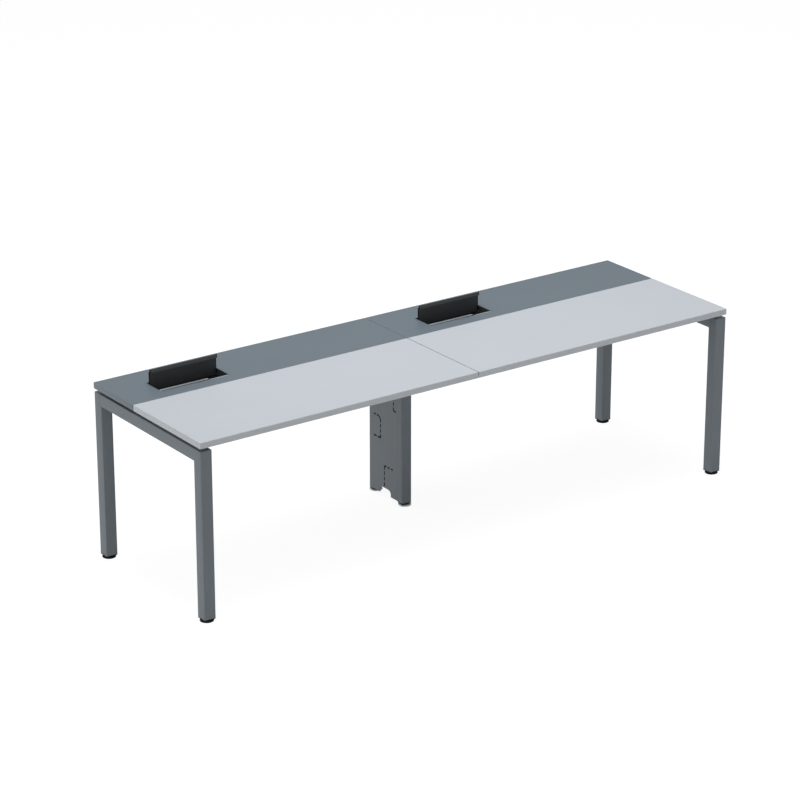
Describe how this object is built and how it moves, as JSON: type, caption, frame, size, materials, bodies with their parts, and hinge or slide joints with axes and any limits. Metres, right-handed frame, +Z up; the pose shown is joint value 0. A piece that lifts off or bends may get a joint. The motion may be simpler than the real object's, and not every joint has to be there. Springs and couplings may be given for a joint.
{
  "type": "benching desk for two",
  "caption": "Long shared office desk: pale worktops before a grey rear top with open cable flaps, carried on square-tube end frames and a cable riser at the middle.",
  "frame": {"origin": "on the floor under the middle of the desk's overall box", "axes": "+X along the desk to the sitters' right, +Y from the sitters to the rear top, +Z up"},
  "size_m": [2.602, 0.792, 0.8073],
  "materials": {
    "pale_board": "melamine-faced chipboard, pale blue-grey, matt",
    "grey_board": "melamine-faced chipboard, mid grey, matt",
    "pale_edging": "2 mm plastic edge band, pale grey, satin",
    "grey_edging": "2 mm plastic edge band, mid grey, satin",
    "frame_paint": "fine-texture powder coat, grey",
    "black_plastic": "moulded plastic, black",
    "flap_liner": "moulded plastic, black",
    "flap_lid": "powder coat, near black",
    "seat_strip": "satin anodised, grey",
    "zinc_screw": "zinc plate",
    "steel_pad": "zinc plate, dulled"
  },
  "bodies": {
    "frame": {"cable_tray_left": "frame_paint", "cable_tray_right": "frame_paint", "flap_liner_left": "flap_liner", "flap_liner_right": "flap_liner", "flap_seat_strip_left": "seat_strip", "flap_seat_strip_right": "seat_strip", "front_beam_left": "frame_paint", "front_beam_right": "frame_paint", "left_front_leg": "frame_paint", "left_front_leg_plug": "black_plastic", "left_rear_leg": "frame_paint", "left_rear_leg_plug": "black_plastic", "left_top_rail": "frame_paint", "middle_arm": "frame_paint", "middle_arm_front_plug": "black_plastic", "middle_arm_rear_plug": "black_plastic", "rear_beam_left": "frame_paint", "rear_beam_right": "frame_paint", "rear_top_left": "grey_board", "rear_top_left_edging": "grey_edging", "rear_top_right": "grey_board", "rear_top_right_edging": "grey_edging", "right_front_leg": "frame_paint", "right_front_leg_plug": "black_plastic", "right_rear_leg": "frame_paint", "right_rear_leg_plug": "black_plastic", "right_top_rail": "frame_paint", "riser_front_post": "frame_paint", "riser_front_post_plug": "black_plastic", "riser_head_plate": "frame_paint", "riser_rear_post": "frame_paint", "riser_rear_post_plug": "black_plastic", "seam_beam_left": "frame_paint", "seam_beam_right": "frame_paint", "seam_pad_front": "black_plastic", "seam_pad_rear": "black_plastic", "worktop_left": "pale_board", "worktop_left_edging": "pale_edging", "worktop_right": "pale_board", "worktop_right_edging": "pale_edging"},
    "left_flap_lid": {"flap_lid_left": "flap_lid", "flap_lid_left_left_cap": "black_plastic", "flap_lid_left_right_cap": "black_plastic"},
    "right_flap_lid": {"flap_lid_right": "flap_lid", "flap_lid_right_left_cap": "black_plastic", "flap_lid_right_right_cap": "black_plastic"},
    "left_riser_cover": {"riser_left_cover": "frame_paint"},
    "right_riser_cover": {"riser_right_cover": "frame_paint"},
    "left_front_leg_glide_pad": {"left_front_leg_glide_pad": "black_plastic"},
    "left_front_leg_glide_screw": {"left_front_leg_glide_screw": "zinc_screw"},
    "left_rear_leg_glide_pad": {"left_rear_leg_glide_pad": "black_plastic"},
    "left_rear_leg_glide_screw": {"left_rear_leg_glide_screw": "zinc_screw"},
    "right_front_leg_glide_pad": {"right_front_leg_glide_pad": "black_plastic"},
    "right_front_leg_glide_screw": {"right_front_leg_glide_screw": "zinc_screw"},
    "right_rear_leg_glide_pad": {"right_rear_leg_glide_pad": "black_plastic"},
    "right_rear_leg_glide_screw": {"right_rear_leg_glide_screw": "zinc_screw"},
    "riser_front_glide_pad": {"riser_front_glide_pad": "steel_pad"},
    "riser_front_glide_screw": {"riser_front_glide_screw": "zinc_screw"},
    "riser_rear_glide_pad": {"riser_rear_glide_pad": "steel_pad"},
    "riser_rear_glide_screw": {"riser_rear_glide_screw": "zinc_screw"}
  },
  "joints": [
    {"name": "left_flap_close", "type": "hinge", "parent": "frame", "child": "left_flap_lid", "pos_m": [-0.9775, 0.24547, 0.7385], "axis": [1, 0, 0], "range_deg": [0, 90]},
    {"name": "right_flap_close", "type": "hinge", "parent": "frame", "child": "right_flap_lid", "pos_m": [0.3225, 0.24547, 0.7385], "axis": [1, 0, 0], "range_deg": [0, 90]},
    {"name": "left_riser_cover_off", "type": "slide", "parent": "frame", "child": "left_riser_cover", "axis": [-1, 0, 0], "range_m": [0, 0.15]},
    {"name": "right_riser_cover_off", "type": "slide", "parent": "frame", "child": "right_riser_cover", "axis": [1, 0, 0], "range_m": [0, 0.15]},
    {"name": "left_front_leg_glide_lower", "type": "slide", "parent": "frame", "child": "left_front_leg_glide_pad", "axis": [0, 0, -1], "range_m": [0, 0.015]},
    {"name": "left_front_leg_screw_turn", "type": "hinge", "parent": "left_front_leg_glide_pad", "child": "left_front_leg_glide_screw", "pos_m": [-1.273, -0.368, 0.02], "axis": [0, 0, -1], "range_deg": [0, 4321]},
    {"name": "left_rear_leg_glide_lower", "type": "slide", "parent": "frame", "child": "left_rear_leg_glide_pad", "axis": [0, 0, -1], "range_m": [0, 0.015]},
    {"name": "left_rear_leg_screw_turn", "type": "hinge", "parent": "left_rear_leg_glide_pad", "child": "left_rear_leg_glide_screw", "pos_m": [-1.273, 0.368, 0.02], "axis": [0, 0, -1], "range_deg": [0, 4321]},
    {"name": "right_front_leg_glide_lower", "type": "slide", "parent": "frame", "child": "right_front_leg_glide_pad", "axis": [0, 0, -1], "range_m": [0, 0.015]},
    {"name": "right_front_leg_screw_turn", "type": "hinge", "parent": "right_front_leg_glide_pad", "child": "right_front_leg_glide_screw", "pos_m": [1.273, -0.368, 0.02], "axis": [0, 0, -1], "range_deg": [0, 4321]},
    {"name": "right_rear_leg_glide_lower", "type": "slide", "parent": "frame", "child": "right_rear_leg_glide_pad", "axis": [0, 0, -1], "range_m": [0, 0.015]},
    {"name": "right_rear_leg_screw_turn", "type": "hinge", "parent": "right_rear_leg_glide_pad", "child": "right_rear_leg_glide_screw", "pos_m": [1.273, 0.368, 0.02], "axis": [0, 0, -1], "range_deg": [0, 4321]},
    {"name": "riser_front_glide_lower", "type": "slide", "parent": "frame", "child": "riser_front_glide_pad", "axis": [0, 0, -1], "range_m": [0, 0.015]},
    {"name": "riser_front_screw_turn", "type": "hinge", "parent": "riser_front_glide_pad", "child": "riser_front_glide_screw", "pos_m": [0, 0.109, 0.02], "axis": [0, 0, -1], "range_deg": [0, 4321]},
    {"name": "riser_rear_glide_lower", "type": "slide", "parent": "frame", "child": "riser_rear_glide_pad", "axis": [0, 0, -1], "range_m": [0, 0.015]},
    {"name": "riser_rear_screw_turn", "type": "hinge", "parent": "riser_rear_glide_pad", "child": "riser_rear_glide_screw", "pos_m": [0, 0.317, 0.02], "axis": [0, 0, -1], "range_deg": [0, 4321]}
  ],
  "couplings": [
    {"joint": "left_front_leg_screw_turn", "follows": "left_front_leg_glide_lower", "rad_per_m": 5026.5},
    {"joint": "left_rear_leg_screw_turn", "follows": "left_rear_leg_glide_lower", "rad_per_m": 5026.5},
    {"joint": "right_front_leg_screw_turn", "follows": "right_front_leg_glide_lower", "rad_per_m": 5026.5},
    {"joint": "right_rear_leg_screw_turn", "follows": "right_rear_leg_glide_lower", "rad_per_m": 5026.5},
    {"joint": "riser_front_screw_turn", "follows": "riser_front_glide_lower", "rad_per_m": 5026.5},
    {"joint": "riser_rear_screw_turn", "follows": "riser_rear_glide_lower", "rad_per_m": 5026.5}
  ]
}
